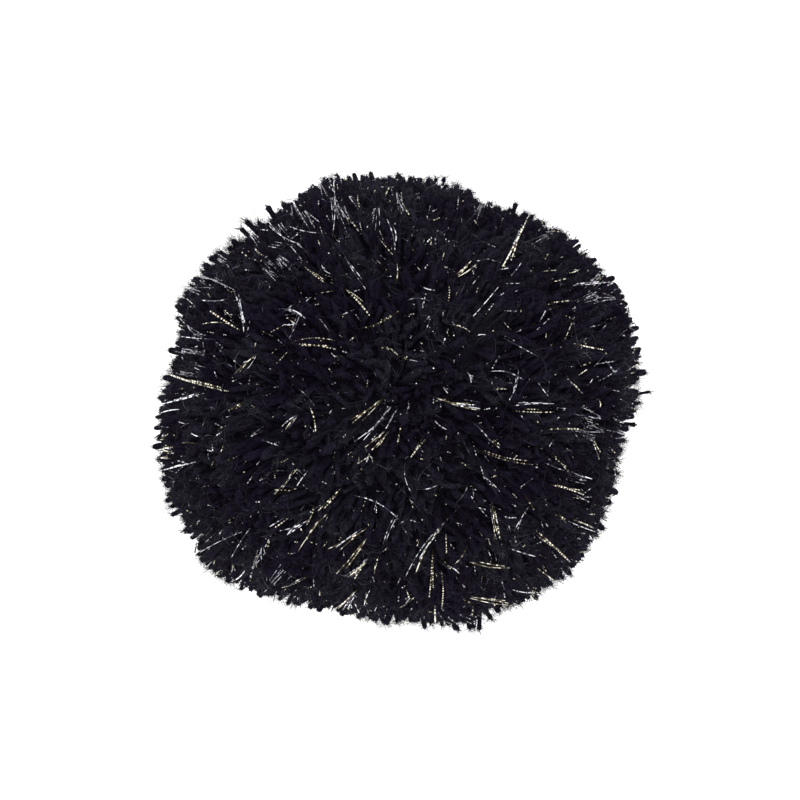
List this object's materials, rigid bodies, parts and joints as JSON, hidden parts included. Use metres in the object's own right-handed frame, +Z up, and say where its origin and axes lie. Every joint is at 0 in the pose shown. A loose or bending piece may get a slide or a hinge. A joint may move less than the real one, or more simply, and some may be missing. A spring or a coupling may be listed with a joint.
{
  "type": "yarn pom pom",
  "caption": "Round fluffy pom pom of cut black yarn wound with gold and silver metallic filaments, trimmed to a ball, resting on its flattened underside.",
  "frame": {"origin": "on the surface that the ball rests on, straight under the tie in the middle of the ball", "axes": "+Z up from the surface through the tie to the crown, +X along the widest reach of the strands"},
  "size_m": [0.092, 0.0841, 0.0823],
  "materials": {
    "black_yarn": "matt cut wool-blend yarn with a slight bluish cast, fuzzy",
    "gold_filament": "bright flat metallised thread, gold",
    "silver_filament": "bright flat metallised thread, silver"
  },
  "bodies": {
    "root": {"pompom": "black_yarn"}
  },
  "joints": []
}
